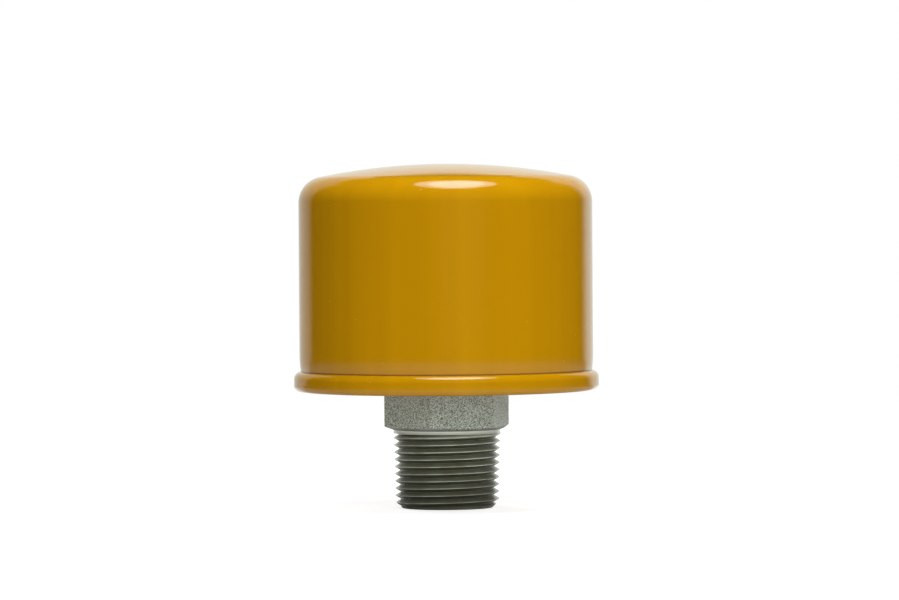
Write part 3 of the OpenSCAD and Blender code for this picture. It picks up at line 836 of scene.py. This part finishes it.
rim_aside, rim_behind, rim_height = 0.55, 0.85, 0.25
rim_tilt, rim_turn = math.radians(-78), math.radians(33)


def backdrop_reach():
    """Share of the backdrop's light at a turn from straight behind: more on the right, none past it."""
    tree, given, put = new_tree("backdrop_reach", "ShaderNodeTree", {"Turn": "NodeSocketFloat"},
                                {"Share": "NodeSocketFloat"})
    sides = calc(tree, "MULTIPLY", ramp(tree, given["Turn"], *backdrop_left),
                 ramp(tree, given["Turn"], *backdrop_right, 1.0, 0.0))
    slope = ramp(tree, given["Turn"], *backdrop_slope, backdrop_left_share, 1.0, smooth=False)
    tree.links.new(calc(tree, "MULTIPLY", sides, slope), put["Share"])
    return tree


reach_group = backdrop_reach()


def pale_floor():
    """Matt floor that shows as the white background, keeps a soft shadow and is clear from below."""
    material = bpy.data.materials.new("pale_floor")
    material.use_nodes = True
    tree = material.node_tree
    tree.nodes.clear()
    path = add_node(tree, "ShaderNodeLightPath").outputs
    place = add_node(tree, "ShaderNodeTexCoord").outputs["Object"]
    away = add_node(tree, "ShaderNodeVectorMath", {0: place}, operation="LENGTH").outputs["Value"]
    spot = add_node(tree, "ShaderNodeSeparateXYZ", {0: place}).outputs
    turn = calc(tree, "ARCTAN2", spot[0], spot[1])
    reach = add_node(tree, "ShaderNodeGroup", {0: turn}, node_tree=reach_group).outputs[0]
    grey = ramp(tree, away, floor_fade_starts, floor_reach, *floor_greys)
    matt = add_node(tree, "ShaderNodeBsdfDiffuse", {"Color": grey})

    # White for the camera, the backdrop's foot in reflections, and some light under the end face
    seen = calc(tree, "MULTIPLY", path["Is Camera Ray"], ramp(tree, away, *floor_glow_zone, *floor_glow))
    mirrored = calc(tree, "MAXIMUM", path["Is Glossy Ray"], path["Is Transmission Ray"])
    behind = calc(tree, "MULTIPLY", reach, ramp(tree, away, *floor_mirror_zone, 0.0, floor_mirror_share))
    under_face = calc(tree, "MULTIPLY", calc(tree, "GREATER_THAN", away, air_bore_radius),
                      calc(tree, "LESS_THAN", away, end_face_radius))
    foot = calc(tree, "MULTIPLY", path["Is Diffuse Ray"], under_face)
    glow = seen
    for part in (calc(tree, "MULTIPLY", mirrored, behind), calc(tree, "MULTIPLY", foot, foot_light)):
        glow = calc(tree, "ADD", glow, part)
    lit = add_node(tree, "ShaderNodeEmission", {
        "Color": mix_colours(tree, path["Is Camera Ray"], backdrop_tint, white), "Strength": glow})
    both = add_node(tree, "ShaderNodeAddShader", {0: matt.outputs[0], 1: lit.outputs[0]})
    below = add_node(tree, "ShaderNodeNewGeometry").outputs["Backfacing"]
    clear = add_node(tree, "ShaderNodeBsdfTransparent").outputs[0]
    one_sided = add_node(tree, "ShaderNodeMixShader", {0: below, 1: both.outputs[0], 2: clear})
    output = add_node(tree, "ShaderNodeOutputMaterial")
    tree.links.new(one_sided.outputs[0], output.inputs["Surface"])
    return material


def studio_world():
    """White for the camera; in reflections white only where the backdrop stands, and dim elsewhere."""
    world = bpy.data.worlds.new("studio")
    world.use_nodes = True
    tree = world.node_tree
    tree.nodes.clear()
    way = add_node(tree, "ShaderNodeSeparateXYZ",
                   {0: add_node(tree, "ShaderNodeTexCoord").outputs["Generated"]}).outputs
    turn = calc(tree, "ARCTAN2", way[0], way[1])
    rise = calc(tree, "ARCSINE", way[2])
    aside = calc(tree, "ABSOLUTE", turn)

    # The sheet hangs lower in the middle and is dimmer towards its top
    sheet = add_node(tree, "ShaderNodeGroup", {0: turn}, node_tree=reach_group).outputs[0]
    above_top = calc(tree, "SUBTRACT", rise, ramp(tree, aside, *backdrop_dip, *backdrop_top))
    under_top = ramp(tree, above_top, -backdrop_soft_edge, backdrop_soft_edge, 1.0, 0.0)
    faded = ramp(tree, rise, *backdrop_fade, 1.0, backdrop_top_share)
    for share in (under_top, faded):
        sheet = calc(tree, "MULTIPLY", sheet, share)
    path = add_node(tree, "ShaderNodeLightPath").outputs
    mirrored = calc(tree, "MAXIMUM", path["Is Glossy Ray"], path["Is Transmission Ray"])
    rest = add_node(tree, "ShaderNodeMix", {0: mirrored, 2: ambient, 3: front_dim}).outputs[0]
    level = calc(tree, "MAXIMUM", sheet, rest)
    level = add_node(tree, "ShaderNodeMix", {0: path["Is Camera Ray"], 2: level, 3: 1.0}).outputs[0]
    background = add_node(tree, "ShaderNodeBackground", {
        "Color": mix_colours(tree, mirrored, white, backdrop_tint), "Strength": level})
    output = add_node(tree, "ShaderNodeOutputWorld")
    tree.links.new(background.outputs[0], output.inputs["Surface"])
    return world


def soft_light(name, shape, place, turn, size, radiance, colour=(1, 1, 1), highlight=False):
    """A soft light of an even radiance, turned from pointing straight down."""
    lamp = bpy.data.lights.new(name, "AREA")
    lamp.shape = shape
    lamp.size, lamp.size_y = size
    area = size[0] * size[1] * (math.pi / 4 if shape == "ELLIPSE" else 1)
    lamp.energy = radiance * math.pi * area
    lamp.color = colour
    light = bpy.data.objects.new(name, lamp)
    light.location = place
    light.rotation_euler = turn
    light.visible_glossy = light.visible_camera = highlight
    bpy.context.scene.collection.objects.link(light)


floor = turned("floor", [(floor_reach, -floor_gap), (0.0, -floor_gap)], loop=False)
floor.data.materials.append(pale_floor())
scene = bpy.context.scene
scene.world = studio_world()
soft_light("softbox", "ELLIPSE", softbox_place, (0, 0, 0),
           size=(0.45, 0.53), radiance=4.6, colour=softbox_colour, highlight=True)
soft_light("softbox_middle", "ELLIPSE", softbox_place - middle_drop, (0, 0, 0),
           size=(0.30, 0.40), radiance=4.3, colour=softbox_colour, highlight=True)
soft_light("front_light", "RECTANGLE", front_place, front_turn, size=(0.9, 1.1), radiance=2.9)
for rim, side, rim_radiance in (("rim_left", -1, 7.0), ("rim_right", 1, 3.0)):
    soft_light(rim, "RECTANGLE", (side * rim_aside, rim_behind, rim_height),
               (rim_tilt, 0, -side * rim_turn), size=(0.5, 0.6), radiance=rim_radiance)


# Camera: a long lens in front of the part, a little above its middle and looking slightly down. It is
# turned about its own axis by a trace, as the photograph is.
image_width = 899
focal_pixels = 4753
camera_place = Vector((0.0009, -1.2, 0.077))
camera_target = Vector((0.0009, 0, 0.0524))
camera_roll = math.radians(-0.4)
lens = bpy.data.cameras.new("camera")
lens.sensor_width = 36
lens.lens = focal_pixels / image_width * lens.sensor_width
camera = bpy.data.objects.new("camera", lens)
aim = (camera_target - camera_place).to_track_quat("-Z", "Y").to_matrix()
rolled_aim = aim @ Matrix.Rotation(camera_roll, 3, "Z")
camera.matrix_world = Matrix.Translation(camera_place) @ rolled_aim.to_4x4()
scene.collection.objects.link(camera)
scene.camera = camera
scene.view_settings.view_transform = "Standard"
